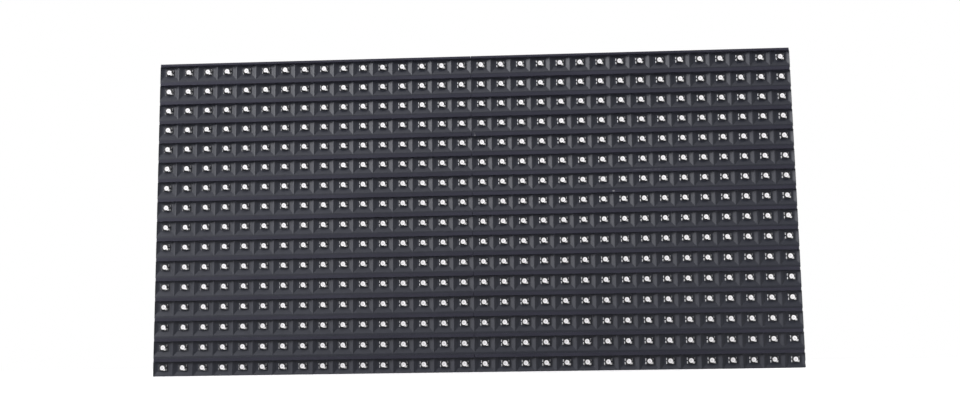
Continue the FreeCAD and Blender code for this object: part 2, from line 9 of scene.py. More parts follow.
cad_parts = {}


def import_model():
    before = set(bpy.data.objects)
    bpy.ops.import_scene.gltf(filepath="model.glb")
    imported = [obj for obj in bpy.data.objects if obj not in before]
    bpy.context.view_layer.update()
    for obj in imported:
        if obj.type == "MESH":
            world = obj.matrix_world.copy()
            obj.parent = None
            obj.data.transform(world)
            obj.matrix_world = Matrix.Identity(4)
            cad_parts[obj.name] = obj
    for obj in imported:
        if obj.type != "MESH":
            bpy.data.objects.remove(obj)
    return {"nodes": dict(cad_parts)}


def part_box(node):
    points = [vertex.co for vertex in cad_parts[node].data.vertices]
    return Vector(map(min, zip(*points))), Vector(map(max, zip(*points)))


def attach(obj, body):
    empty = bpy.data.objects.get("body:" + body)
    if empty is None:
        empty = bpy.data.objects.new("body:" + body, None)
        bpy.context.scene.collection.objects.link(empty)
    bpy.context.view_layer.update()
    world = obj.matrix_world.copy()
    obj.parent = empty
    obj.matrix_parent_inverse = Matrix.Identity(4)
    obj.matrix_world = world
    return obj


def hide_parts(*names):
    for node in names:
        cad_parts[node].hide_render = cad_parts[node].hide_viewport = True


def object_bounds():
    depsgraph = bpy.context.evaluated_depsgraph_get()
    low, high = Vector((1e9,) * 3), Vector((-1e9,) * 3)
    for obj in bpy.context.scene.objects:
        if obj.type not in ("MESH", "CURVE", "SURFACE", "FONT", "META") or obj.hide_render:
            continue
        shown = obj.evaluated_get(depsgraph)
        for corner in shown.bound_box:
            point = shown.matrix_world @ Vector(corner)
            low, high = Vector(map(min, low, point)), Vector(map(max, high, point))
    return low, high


MM = 0.001

# The grid of pixels. The first row is the highest.
PITCH = 10 * MM
COLUMNS = 32
ROWS = 16

# LED package: half sizes across and up the panel, heights above the board.
CASE_HALF_LENGTH = 1.58 * MM
CASE_HALF_WIDTH = 1.4 * MM
CASE_HEIGHT = 2.8 * MM
CASE_EDGE = 0.06 * MM
CORNER_NOTCH = 1.15 * MM
CORNER_NOTCH_DEPTH = 0.12 * MM
CUP_RADIUS = 1.17 * MM
CUP_FLOOR_RADIUS = 0.92 * MM
CUP_DEPTH = 0.5 * MM
RESIN_DEPTH = 0.12 * MM
DIE_OFFSET = 0.3 * MM
DIE_TURNS = (90, 210, 330)
CUT_CORNER_FACES = [-3, -2]
LEAD_REACH = 1.95 * MM
LEAD_OFFSET = 0.88 * MM
LEAD_WIDTH = 1.1 * MM
LEAD_THICKNESS = 0.15 * MM
LEAD_RISE = 1.8 * MM

# Points in a ring of a shape: a small round one, one that has only corners and straight sides,
# and larger round ones. Edges that turn by more than the smooth angle are sharp.
POINTS_AROUND = 16
BOX_POINTS = 8
FOOT_POINTS = 24
INSERT_POINTS = 24
ROUND_POINTS = 40
SMOOTH_ANGLE = math.radians(35)
SCREW_SMOOTH_ANGLE = math.radians(40)

# Sealing silicone in each cell: its depth beside the package and over the mask's ridges, where
# it starts to climb, and how far it reaches across, down and up from the pixel's centre.
SILICONE_DEPTH = 1.5 * MM
SILICONE_TOP = 2.4 * MM
SILICONE_FLAT = 2.7 * MM
SILICONE_FLAT_BELOW = 2.0 * MM
SILICONE_REACH = 5.0 * MM
SILICONE_SLOPE_END = 4.4 * MM
SILICONE_BELOW = 5.45 * MM
SILICONE_ABOVE = 2.98 * MM
SILICONE_FOOT = 0.35 * MM
SILICONE_SMOOTH_ANGLE = math.radians(16)
MASK_RIM = 0.1 * MM

# Scuffs on the mask: across, up, half length and half height in millimetres, and strength.
SCUFFS = ((1.7, 39, 0.5, 1.1, 1), (70, 8.6, 0.7, 0.4, 1), (86.5, 19, 12.5, 0.12, 0.5),
          (148.5, -26.4, 0.6, 0.5, 1), (2.5, -19, 0.4, 0.7, 1))

# A smear of resin round one package: across, up, half length and half height in millimetres.
SMEAR = (65, 15, 2.4, 2.2)

# Back of the board: its chips by kind, as (places across, places up, length, width, height,
# legs on a side, step between legs, how far the legs reach from the chip's middle).
LOGIC_LINE = -25.35
DRIVER_PLACES = (-126.94, -96.94, -52.31, -22.31, 22.31, 52.31, 96.94, 126.94)
CHIP_KINDS = (
    (DRIVER_PLACES, (48.35, 20.35, -48.35), 8.65, 3.9, 1.5, 12, 0.635, 3.0),
    ((-55.81, -44.81), (LOGIC_LINE - 5, LOGIC_LINE + 5), 4.9, 3.9, 1.5, 4, 1.27, 3.0),
    ((-23.31,), (LOGIC_LINE,), 9.9, 3.9, 1.5, 8, 1.27, 3.0),
    ((-96.94, 96.94), (LOGIC_LINE,), 12.8, 7.5, 2.3, 10, 1.27, 5.15))
CHIP_NODES = ("red_driver_chips", "green_driver_chips", "blue_driver_chips", "row_switch_chips",
              "row_decoder_chip", "signal_buffer_chips")
LEG_THICKNESS = 0.18 * MM
LEG_WIDTH_SHARE = 0.42

# Small parts beside each driver, as (across, up) from its middle.
SMALL_PART_OFFSETS = ((-1.6, 6.2), (1.6, 6.2), (5.0, 1.8), (5.0, -1.8))
SMALL_PART_HALF_LENGTH = 0.8 * MM
SMALL_PART_HALF_WIDTH = 0.42 * MM
SMALL_PART_HEIGHT = 0.5 * MM

# Bulk capacitors, and the dark half-moon on their tops: its edge and how far out it starts.
CAN_PLACES = ((18.31, LOGIC_LINE - 5.5), (18.31, LOGIC_LINE + 5.5))
CAN_RADIUS = 4 * MM
CAN_HEIGHT = 9.5 * MM
MOON_EDGE = 16.9 * MM
MOON_START = -2.9 * MM

# Printed rectangles on the back of the board, in millimetres: how far they lie past a chip's
# legs and ends, and their places, half lengths and half heights round the other parts. Then
# how far the lines stand out of the board and how wide they are.
HEADER_PLACES = ((-123.94, LOGIC_LINE), (123.94, LOGIC_LINE))
POWER_PLACES = ((43.31, LOGIC_LINE),)
PRINT_PAST_LEGS = 0.5
PRINT_PAST_ENDS = 0.6
PRINTED_BOXES = ((HEADER_PLACES, 5.0, 14.6), (CAN_PLACES, 4.7, 4.7), (POWER_PLACES, 8.9, 5.2))
PRINT_RISE = 0.02 * MM
PRINT_LINE = 0.2 * MM

# The mark by a chip's pin one: across and down from its middle in centimetres, and its radius.
PIN_MARK_ACROSS = 0.11
PIN_MARK_DOWN = 0.16
PIN_MARK_RADIUS = 0.05

# Screws that hold the frame to the mask, in the floor's square wells.
SCREW_PLACES = ((-149.45, 0), (-74.625, 0), (74.625, 0), (149.45, 0), (-74.625, -68.9),
                (-74.625, 68.9), (74.625, -68.9), (74.625, 68.9))
WELL_FLOOR = -1.8 * MM
SCREW_HEAD_RADIUS = 2.8 * MM
SCREW_HEAD_HEIGHT = 1.6 * MM
CROSS_REACH = 1.55 * MM
CROSS_WAIST = 0.45 * MM

# Threaded inserts for the cabinet's M4 screws.
INSERT_PLACES = ((-148, -68), (0, -68), (148, -68), (-148, 68), (0, 68), (148, 68))
INSERT_FLATS = 7 * MM
THREAD_CORE = 1.65 * MM
THREAD_CREST = 2.0 * MM
THREAD_PITCH = 0.7 * MM

# CAD nodes whose edges are rounded, by how many millimetres and in how many steps.
ROUNDED_EDGES = (("sealing_gasket", 0.5, 2), ("rear_frame", 0.25, 1), ("mask_left", 0.15, 1),
                 ("mask_right", 0.15, 1), ("data_in_header", 0.15, 1),
                 ("data_out_header", 0.15, 1), ("power_header", 0.15, 1))
ROUNDED_ANGLE = math.radians(50)
JOIN_DISTANCE = 0.002 * MM

# Lamps: name, place, size, power and colour. Each is aimed at the origin.
LAMPS = (("window", (-1.28, -1.16, 0.6), (0.8, 0.65), 30, (0.97, 0.97, 1)),
         ("ceiling", (-0.1, -0.45, 0.9), (0.9, 0.6), 3, (1, 0.98, 1)),
         ("back_window", (0.75, 1.05, 1.2), (0.9, 0.7), 38, (1, 1, 1)))
ROOM_STRENGTH = 0.06

# The floor: half its side, and where it starts and ends to turn from pale to dim, in metres.
FLOOR_HALF = 3.0
FLOOR_NEAR = 0.45
FLOOR_FAR = 1.3

# The camera: its place, the point in the middle of its picture and how it leans.
CAMERA_PLACE = (30.22 * MM, -566.9 * MM, -74.46 * MM)
CAMERA_AIM = (3.66 * MM, -16.5 * MM, 0.62 * MM)
CAMERA_ROLL = math.radians(-0.813)
CAMERA_LENS = 41.93
SENSOR_WIDTH = 36


class Wire:
    """One output of a shader node, with the signs of arithmetic. Each sign adds a Math node."""

    def __init__(self, finish, socket):
        self.finish = finish
        self.socket = socket

    def maths(self, operation, *values):
        """A Math node with these values."""
        return self.finish.node("ShaderNodeMath", {"operation": operation}, list(values))

    def __add__(self, other):
        return self.maths("ADD", self, other)

    def __sub__(self, other):
        return self.maths("SUBTRACT", self, other)

    def __rsub__(self, other):
        return self.maths("SUBTRACT", other, self)

    def __mul__(self, other):
        return self.maths("MULTIPLY", self, other)

    def __truediv__(self, other):
        return self.maths("DIVIDE", self, other)

    def __pow__(self, other):
        return self.maths("POWER", self, other)

    def __gt__(self, other):
        return self.maths("GREATER_THAN", self, other)

    def __lt__(self, other):
        return self.maths("LESS_THAN", self, other)

    __radd__ = __add__
    __rmul__ = __mul__

    def fraction(self):
        return self.maths("FRACT", self)

    def size(self):
        return self.maths("ABSOLUTE", self)

    def fade(self, start, end):
        """0 before start and 1 after end, smooth between them. Start may lie after end."""
        low, high = min(start, end), max(start, end)
        ends = (0, 1) if start < end else (1, 0)
        values = {"Value": self, "From Min": low, "From Max": high,
                  "To Min": ends[0], "To Max": ends[1]}
        return self.finish.node("ShaderNodeMapRange", {"interpolation_type": "SMOOTHSTEP"}, values)


class Finish:
    """A material that is built up from nodes around one Principled shader."""

    def __init__(self, name, **shader_values):
        self.material = bpy.data.materials.new(name)
        self.material.use_nodes = True
        self.tree = self.material.node_tree
        self.shader = self.tree.nodes["Principled BSDF"]
        self.set(**shader_values)
        place = self.node("ShaderNodeTexCoord", output="Object")
        self.place = place
        self.x, self.y, self.z = self.split(place)

    def node(self, kind, settings=None, values=(), output=0):
        """A node of that kind. Its settings come first, then its sockets' numbers and links."""
        node = self.tree.nodes.new(kind)
        for key, value in (settings or {}).items():
            setattr(node, key, value)
        pairs = values.items() if isinstance(values, dict) else enumerate(values)
        for key, value in pairs:
            self.feed(node.inputs[key], value)
        return Wire(self, node.outputs[output])

    def feed(self, socket, value):
        """Link a wire to a socket, or set the socket to a number or a colour."""
        if isinstance(value, Wire):
            self.tree.links.new(value.socket, socket)
        elif isinstance(value, tuple) and socket.type == "RGBA":
            socket.default_value = (*value[:3], 1)
        else:
            socket.default_value = value

    def set(self, **values):
        """Fill sockets of the Principled shader, such as Base_Color or Roughness."""
        for key, value in values.items():
            self.feed(self.shader.inputs[key.replace("_", " ")], value)

    def split(self, vector):
        """The three parts of a vector or a colour."""
        first = self.node("ShaderNodeSeparateXYZ", None, [vector])
        return [Wire(self, socket) for socket in first.socket.node.outputs]

    def noise(self, grain, detail=2.0, vector=None):
        """Smooth noise about 0.5, with lumps about one grain across."""
        values = {"Vector": vector or self.place, "Scale": 1 / grain, "Detail": detail}
        return self.node("ShaderNodeTexNoise", None, values)

    def mix(self, share, first, second):
        """A colour between two, by a share from 0 to 1."""
        values = {0: share, 6: first, 7: second}
        return self.node("ShaderNodeMix", {"data_type": "RGBA"}, values, output=2)

    def bump(self, height, depth, strength, below=None):
        """A normal that follows a height from 0 to 1, with its full depth in metres."""
        values = {"Height": height, "Distance": depth, "Strength": strength}
        if below is not None:
            values["Normal"] = below
        return self.node("ShaderNodeBump", None, values)


def within_cell(finish):
    """Where a point lies in its own pixel's cell, across and up from the pixel's centre."""
    across = ((finish.x / PITCH).fraction() - 0.5) * PITCH
    up = ((finish.z / PITCH).fraction() - 0.5) * PITCH
    return across, up


def spot(finish, x, z, half_length, half_height):
    """1 in a soft ellipse about a place on the panel's front, 0 outside it."""
    blur = 0.3
    across = (finish.x - x * MM) / (half_length * MM)
    up = (finish.z - z * MM) / (half_height * MM)
    return (across * across + up * up).fade(1 + blur, 1 - blur)


def mask_plastic():
    """Dark grey moulded plastic with a fine matt grain, a little dust and a few scuffs."""
    finish = Finish("mask_plastic", Specular_IOR_Level=0.11)
    cloud = finish.noise(35 * MM, 3.0)
    grain = finish.noise(0.35 * MM)
    shade = cloud.fade(0.35, 0.65) * 0.5 + grain * 0.5
    colour = finish.mix(shade, (0.0275, 0.0272, 0.0385), (0.039, 0.0386, 0.054))
    scuffs = sum(spot(finish, *place) * strength for *place, strength in SCUFFS)
    broken = finish.noise(0.8 * MM, 3.0).fade(0.4, 0.6)
    colour = finish.mix(scuffs * broken * 0.6, colour, (0.3, 0.3, 0.31))
    finish.set(Base_Color=colour, Roughness=0.34 + grain * 0.1)
    finish.set(Normal=finish.bump(grain, 0.012 * MM, 0.3))
    return finish.material


def frame_plastic():
    """Black moulded plastic with a spark-eroded grain."""
    finish = Finish("frame_plastic", Specular_IOR_Level=0.2)
    cloud = finish.noise(28 * MM, 3.0)
    grain = finish.noise(0.5 * MM, 3.0)
    colour = finish.mix(cloud, (0.016, 0.016, 0.017), (0.028, 0.028, 0.03))
    finish.set(Base_Color=colour, Roughness=0.52 + grain * 0.2)
    finish.set(Normal=finish.bump(grain, 0.04 * MM, 0.5))
    return finish.material


def board_laminate():
    """Black solder mask over copper: traces stand out a little; small vias in rows, with painted
    shade in their bores.
    """
    finish = Finish("board_laminate", Specular_IOR_Level=0.5)
    step = 0.9 * MM
    patch = 14 * MM
    via_step = 5
    cells = finish.node("ShaderNodeTexVoronoi", {"distance": "CHEBYCHEV", "feature": "F1"},
                        {"Scale": 1 / patch, "Vector": finish.place}, output="Color")
    pick = finish.split(cells)[0]
    upright = (finish.x / step).fraction()
    level = (finish.z / step).fraction()
    lines = (upright - 0.5).size().fade(0.3, 0.22) * (pick > 0.45)
    lines = lines + (level - 0.5).size().fade(0.3, 0.22) * (pick < 0.35)
    via_x = ((finish.x / (via_step * MM)).fraction() - 0.5) * via_step
    via_z = ((finish.z / (via_step * MM)).fraction() - 0.5) * via_step
    radius = (via_x * via_x + via_z * via_z) ** 0.5
    via = radius.fade(0.34, 0.28) * (pick > 0.3)
    # Each via's bore: a dent in the relief, and painted shade in the colour.
    hole_and_shade = radius.fade(0.16, 0.12) * (pick > 0.3)
    colour = finish.mix(lines, (0.007, 0.008, 0.009), (0.02, 0.023, 0.025))
    colour = finish.mix(via, colour, (0.06, 0.058, 0.05))
    # Painted shade: the bore is coloured near black.
    colour = finish.mix(hole_and_shade, colour, (0.002, 0.002, 0.002))
    finish.set(Base_Color=colour, Roughness=0.28 + finish.noise(1.5 * MM) * 0.12)
    relief = lines * 0.5 + via * 0.6 - hole_and_shade
    finish.set(Normal=finish.bump(relief, 0.05 * MM, 0.8))
    return finish.material


def silk_white():
    """White screen print on the board, a little thin in places."""
    finish = Finish("silk_white", Roughness=0.7)
    thin = finish.noise(0.4 * MM, 3.0)
    finish.set(Base_Color=finish.mix(thin, (0.5, 0.5, 0.5), (0.78, 0.78, 0.77)))
    return finish.material


def case_white():
    """The LED package's white plastic, seen at its cut corner and in its cup."""
    finish = Finish("led_case_white", Roughness=0.4)
    speck = finish.noise(0.6 * MM)
    finish.set(Base_Color=finish.mix(speck, (0.66, 0.65, 0.64), (0.82, 0.81, 0.8)))
    return finish.material


def case_black():
    """The black body of an LED package. One package has a smear of resin round its cup."""
    finish = Finish("led_case_black", Specular_IOR_Level=0.4)
    speck = finish.noise(0.4 * MM)
    colour = finish.mix(speck, (0.018, 0.018, 0.02), (0.035, 0.034, 0.036))
    smear = spot(finish, *SMEAR) * finish.noise(0.45 * MM).fade(0.5, 0.6)
    finish.set(Base_Color=finish.mix(smear * 0.55, colour, (0.5, 0.5, 0.5)))
    finish.set(Roughness=0.42 + speck * 0.2)
    return finish.material


def cup_resin():
    """Clear resin over a white cup: bright at its rim, duller over the three small dies."""
    finish = Finish("led_resin", Roughness=0.22, Specular_IOR_Level=0.8)
    across, up = within_cell(finish)
    radius = (across * across + up * up) ** 0.5
    dies = 0
    for turn in DIE_TURNS:
        left = across - DIE_OFFSET * math.cos(math.radians(turn))
        above = up - DIE_OFFSET * math.sin(math.radians(turn))
        square = left.size().fade(0.17 * MM, 0.13 * MM) * above.size().fade(0.17 * MM, 0.13 * MM)
        dies = dies + square
    batch = finish.noise(25 * MM, 1.0)
    rim = finish.mix(batch, (0.93, 0.92, 0.92), (0.97, 0.96, 0.96))
    colour = finish.mix(radius.fade(1.05 * MM, 0.6 * MM), rim, (0.9, 0.88, 0.88))
    finish.set(Base_Color=finish.mix(dies * 0.55, colour, (0.2, 0.17, 0.16)))
    return finish.material


def tinned_metal():
    """Chip legs and the ends of small parts: bright tin, a little uneven."""
    finish = Finish("tinned_metal", Metallic=1.0)
    speck = finish.noise(0.5 * MM)
    finish.set(Base_Color=finish.mix(speck, (0.5, 0.5, 0.5), (0.7, 0.7, 0.7)))
    finish.set(Roughness=0.32 + speck * 0.2)
    finish.set(Normal=finish.bump(speck, 0.03 * MM, 0.4))
    return finish.material


def sealing_silicone():
    """Dark silicone poured round the packages: smooth, with a faint haze of dust."""
    finish = Finish("sealing_silicone", Specular_IOR_Level=0.29)
    haze = finish.noise(2.5 * MM, 3.0)
    finish.set(Base_Color=finish.mix(haze, (0.0165, 0.018, 0.0258), (0.0245, 0.0266, 0.0372)))
    finish.set(Roughness=0.35 + haze * 0.12)
    finish.set(Normal=finish.bump(finish.noise(1.2 * MM), 0.03 * MM, 0.5))
    return finish.material


def lead_tin():
    """Matt tin under a thin film of silicone: it shows the light that falls on it."""
    finish = Finish("lead_tin", Specular_IOR_Level=0.3)
    speck = finish.noise(0.5 * MM)
    finish.set(Base_Color=finish.mix(speck, (0.54, 0.54, 0.55), (0.78, 0.78, 0.78)))
    finish.set(Roughness=0.42 + speck * 0.16)
    return finish.material


def gold_plate():
    """Gold-plated contact pins."""
    finish = Finish("gold_plate", Metallic=1.0)
    speck = finish.noise(0.8 * MM)
    finish.set(Base_Color=finish.mix(speck, (0.72, 0.52, 0.2), (0.9, 0.7, 0.32)))
    finish.set(Roughness=0.24 + speck * 0.12)
    return finish.material


def insert_brass():
    """Turned brass, duller in places."""
    finish = Finish("insert_brass", Metallic=1.0)
    tarnish = finish.noise(3 * MM, 3.0)
    finish.set(Base_Color=finish.mix(tarnish, (0.42, 0.29, 0.11), (0.72, 0.54, 0.26)))
    finish.set(Roughness=0.28 + tarnish * 0.2)
    finish.set(Normal=finish.bump(finish.noise(0.25 * MM), 0.01 * MM, 0.4))
    return finish.material


def seal_rubber():
    """Soft black rubber with a faint bloom."""
    finish = Finish("seal_rubber", Specular_IOR_Level=0.3)
    bloom = finish.noise(9 * MM, 4.0)
    finish.set(Base_Color=finish.mix(bloom, (0.012, 0.012, 0.012), (0.03, 0.03, 0.03)))
    finish.set(Roughness=0.65 + bloom * 0.2)
    finish.set(Normal=finish.bump(finish.noise(0.4 * MM), 0.03 * MM, 0.5))
    return finish.material


def chip_epoxy():
    """Moulded black epoxy, with a smooth round mark by pin one in the piece's own map."""
    finish = Finish("chip_epoxy", Specular_IOR_Level=0.4)
    grain = finish.noise(0.12 * MM)
    flat = finish.node("ShaderNodeTexCoord", output="UV")
    across, up, _ = finish.split(flat)
    side = across - (0.5 + PIN_MARK_ACROSS)
    above = up - (0.5 - PIN_MARK_DOWN)
    radius = (side * side + above * above) ** 0.5
    dimple = radius.fade(PIN_MARK_RADIUS, 0.7 * PIN_MARK_RADIUS)
    colour = finish.mix(grain, (0.03, 0.03, 0.031), (0.05, 0.05, 0.051))
    finish.set(Base_Color=finish.mix(dimple, colour, (0.02, 0.02, 0.02)))
    finish.set(Roughness=0.5 + grain * 0.2 - dimple * 0.22)
    rough = finish.bump(grain, 0.015 * MM, 0.5)
    finish.set(Normal=finish.bump(1 - dimple, 0.08 * MM, 0.8, rough))
    return finish.material


def part_ceramic():
    """Small parts: tan ceramic capacitors in some patches of the board, dark resistors in others."""
    finish = Finish("part_ceramic", Roughness=0.45)
    speck = finish.noise(0.5 * MM)
    batch = finish.noise(14 * MM, 1.0)
    tan = finish.mix(speck, (0.2, 0.13, 0.075), (0.29, 0.19, 0.11))
    dark = finish.mix(speck, (0.016, 0.016, 0.017), (0.035, 0.035, 0.036))
    finish.set(Base_Color=finish.mix(batch.fade(0.49, 0.51), tan, dark))
    return finish.material


def can_aluminium():
    """Drawn aluminium with fine lines up the can and a dark half-moon on its top."""
    finish = Finish("can_aluminium", Metallic=1.0)
    streaks = finish.node("ShaderNodeMapping", None, {"Vector": finish.place, "Scale": (1, 0.03, 1)})
    lines = finish.noise(0.4 * MM, 3.0, vector=streaks)
    moon = (finish.x - MOON_EDGE).fade(0.05 * MM, -0.05 * MM)
    moon = moon * (finish.y - MOON_START).fade(-0.05 * MM, 0.05 * MM)
    colour = finish.mix(lines, (0.56, 0.56, 0.57), (0.72, 0.72, 0.73))
    finish.set(Base_Color=finish.mix(moon, colour, (0.02, 0.02, 0.022)), Metallic=1 - moon)
    finish.set(Roughness=0.26 + lines * 0.14)
    return finish.material


def screw_steel():
    """Zinc-plated steel, a little cloudy."""
    finish = Finish("screw_steel", Metallic=1.0)
    cloud = finish.noise(1.2 * MM, 3.0)
    finish.set(Base_Color=finish.mix(cloud, (0.36, 0.36, 0.37), (0.56, 0.56, 0.57)))
    finish.set(Roughness=0.28 + cloud * 0.18)
    finish.set(Normal=finish.bump(finish.noise(0.3 * MM), 0.01 * MM, 0.4))
    return finish.material


def connector_plastic():
    """Glass-filled black nylon: dark, with a fine mottle from the fibres."""
    finish = Finish("connector_plastic", Specular_IOR_Level=0.45)
    fibres = finish.noise(0.6 * MM, 4.0)
    finish.set(Base_Color=finish.mix(fibres, (0.014, 0.014, 0.015), (0.03, 0.03, 0.031)))
    finish.set(Roughness=0.38 + fibres * 0.2)
    finish.set(Normal=finish.bump(fibres, 0.02 * MM, 0.4))
    return finish.material


def build_mesh(name, points, faces, materials, material_numbers=None, smooth_angle=None):
    """An object at the origin from an array of points and a list of faces."""
    mesh = bpy.data.meshes.new(name)
    mesh.from_pydata(points.reshape(-1, 3).tolist(), [], faces)
    for material in materials:
        mesh.materials.append(material)
    if material_numbers is not None:
        mesh.polygons.foreach_set("material_index", material_numbers.astype(np.int32))
    if smooth_angle is not None:
        mesh.polygons.foreach_set("use_smooth", np.ones(len(faces), dtype=bool))
        mesh.set_sharp_from_angle(angle=smooth_angle)
    mesh.validate()
    mesh.update()
    piece = bpy.data.objects.new(name, mesh)
    bpy.context.scene.collection.objects.link(piece)
    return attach(piece, "root")


def rings(sizes, around=POINTS_AROUND):
    """Closed rings, each from (half length, half height, height off the board, squareness).

    A ring's point at angle t is (cos t, sin t), divided by the larger of |cos t| and |sin t|
    where squareness is 1, and by 1 where it is 0, so it runs from a circle to a rectangle.
    """
    half_length, half_height, height, squareness = np.array(sizes, float).T[:, :, None]
    turn = np.linspace(0, 2 * np.pi, around, endpoint=False)
    across, up = np.cos(turn), np.sin(turn)
    reach = 1 / np.maximum(np.abs(across), np.abs(up))
    reach = 1 + (reach - 1) * squareness
    return np.stack([half_length * across * reach, height + 0 * across, half_height * up * reach], -1)


def ring_faces(count, around, copies):
    """Quads between neighbouring rings and a face over each end, for every copy."""
    ring = np.arange(count - 1)[:, None]
    point = np.arange(around)[None, :]
    following = (point + 1) % around
    quads = np.stack([ring * around + point, ring * around + following,
                      (ring + 1) * around + following, (ring + 1) * around + point], -1)
    starts = np.arange(copies)[:, None] * count * around
    sides = (quads.reshape(1, -1, 4) + starts[:, :, None]).reshape(-1, 4)
    low_end = np.arange(around)[::-1] + starts
    high_end = np.arange(around) + (count - 1) * around + starts
    return sides.tolist() + low_end.tolist() + high_end.tolist()


def copies_at(points, centres, base, direction):
    """The shape's points at each centre, with its heights counted from base along Y."""
    placed = np.array(points) * (1, direction, 1)
    placed = placed[None] + np.array(centres)[:, None, None, :] * (1, 0, 1)
    placed[..., 1] += base
    return placed


def turned_pieces(name, points, centres, base, direction, materials, bands=None,
                  smooth_angle=SMOOTH_ANGLE):
    """Shells through the rings of points, one at every centre.

    Bands gives the material of the first end, of each step and of the last end. A step may
    also have a material for each of its faces.
    """
    placed = copies_at(points, centres, base, direction)
    count, around = points.shape[:2]
    faces = ring_faces(count, around, len(centres))
    if direction < 0:
        faces = [face[::-1] for face in faces]
    numbers = None
    if bands is not None:
        steps = [np.broadcast_to(band, around) for band in bands[1:-1]]
        sides = np.tile(np.concatenate(steps), len(centres))
        numbers = np.concatenate([sides, np.full(len(centres), bands[0]),
                                  np.full(len(centres), bands[-1])])
    return build_mesh(name, placed, faces, materials, numbers, smooth_angle)


def pixel_centres():
    """The middle of every pixel, as (across, 0, up)."""
    across = (np.arange(COLUMNS) - (COLUMNS - 1) / 2) * PITCH
    up = ((ROWS - 1) / 2 - np.arange(ROWS)) * PITCH
    grid = np.stack(np.meshgrid(across, up), -1).reshape(-1, 2)
    return np.stack([grid[:, 0], 0 * grid[:, 0], grid[:, 1]], -1)


def led_case_shape():
    """The package: a box with a cut lower right corner and a round cup in its top."""
    top_length = CASE_HALF_LENGTH - CASE_EDGE
    top_width = CASE_HALF_WIDTH - CASE_EDGE
    notch_height = CASE_HEIGHT - CORNER_NOTCH_DEPTH
    points = rings([
        (CASE_HALF_LENGTH, CASE_HALF_WIDTH, 0, 1),
        (CASE_HALF_LENGTH, CASE_HALF_WIDTH, CASE_HEIGHT - CASE_EDGE, 1),
        (top_length, top_width, CASE_HEIGHT, 1),
        (CUP_RADIUS, CUP_RADIUS, CASE_HEIGHT, 0),
        (CUP_FLOOR_RADIUS, CUP_FLOOR_RADIUS, CASE_HEIGHT - CUP_DEPTH, 0)])
    shoulder, top = 1, 2
    corner = points[..., 0] - points[..., 2]
    limit = top_length + top_width - CORNER_NOTCH
    excess = np.clip(corner[top] - limit, 0, None)
    points[top, :, 0] -= excess / 2
    points[top, :, 2] += excess / 2
    points[shoulder, corner[shoulder] > limit, 1] = notch_height
    return points


def add_led_packages(board_front, white, black, resin):
    """Every LED package, and the resin that fills its cup."""
    centres = pixel_centres()
    white_face, black_face = 0, 1
    edge = np.full(POINTS_AROUND, black_face)
    edge[CUT_CORNER_FACES] = white_face
    bands = [black_face, black_face, edge, black_face, white_face, white_face]
    rows = [f"led_row_{row + 1:02d}" for row in range(ROWS)]
    cases = turned_pieces("led_cases", led_case_shape(), centres, board_front, -1, [white, black],
                          bands)
    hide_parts(*rows)
    level = CASE_HEIGHT - RESIN_DEPTH
    sizes = [(CUP_RADIUS - 0.04 * MM, CUP_RADIUS - 0.04 * MM, level - 0.1 * MM, 0),
             (CUP_RADIUS - 0.06 * MM, CUP_RADIUS - 0.06 * MM, level, 0),
             (0.6 * CUP_RADIUS, 0.6 * CUP_RADIUS, level - 0.03 * MM, 0)]
    fills = turned_pieces("led_resin_fills", rings(sizes), centres, board_front, -1, [resin])


def silicone_shape():
    """The silicone in a cell: flat beside the package and climbing over the mask's ridges.

    Across the panel its slope grows evenly over the first quarter of the way from where it starts
    to climb, holds, and falls by half over the last fifth before the cell's edge. Its height is
    the sum of that slope. Down the panel it climbs evenly, and then stays flat up to the blade.
    The last ring lies a little above the board.
    """
    share = np.array([0, 0, 0.125, 0.25, 0.8, 0.9, 1, 1, 1])
    slope = np.interp(share, [0, 0.25, 0.8, 1], [0, 1, 1, 0.5])
    climb = np.concatenate([[0], np.cumsum(np.diff(share) * (slope[1:] + slope[:-1]) / 2)])
    climb /= climb[-1]
    length = SILICONE_FLAT + (SILICONE_REACH - SILICONE_FLAT) * share
    below = SILICONE_FLAT_BELOW + (SILICONE_SLOPE_END - SILICONE_FLAT_BELOW) * climb
    below[-2:] = SILICONE_BELOW
    above = SILICONE_ABOVE + 0 * share
    length[0], below[0], above[0] = CASE_HALF_LENGTH, CASE_HALF_WIDTH, CASE_HALF_WIDTH
    height = SILICONE_DEPTH + (SILICONE_TOP - SILICONE_DEPTH) * climb
    height[-1] = SILICONE_FOOT
    even = np.ones(len(share))
    points = rings(np.stack([length, even, height, even], -1), BOX_POINTS)
    up = points[..., 2]
    points[..., 2] = np.where(up > 0, up * above[:, None], up * below[:, None])
    return points


def keep_within(piece, low, high):
    """Pull a piece's points in, across and up the panel, to a box."""
    vertices = piece.data.vertices
    points = np.empty(len(vertices) * 3)
    vertices.foreach_get("co", points)
    points = points.reshape(-1, 3)
    for axis in (0, 2):
        points[:, axis] = np.clip(points[:, axis], low[axis] + MASK_RIM, high[axis] - MASK_RIM)
    vertices.foreach_set("co", points.ravel())
    piece.data.update()


def add_silicone(board_front, silicone, cad_box):
    """The sealing silicone between each package and the mask, up to the mask's rim."""
    fills = turned_pieces("sealing_silicone", silicone_shape()[::-1], pixel_centres(), board_front,
                          -1, [silicone], smooth_angle=SILICONE_SMOOTH_ANGLE)
    keep_within(fills, *cad_box)


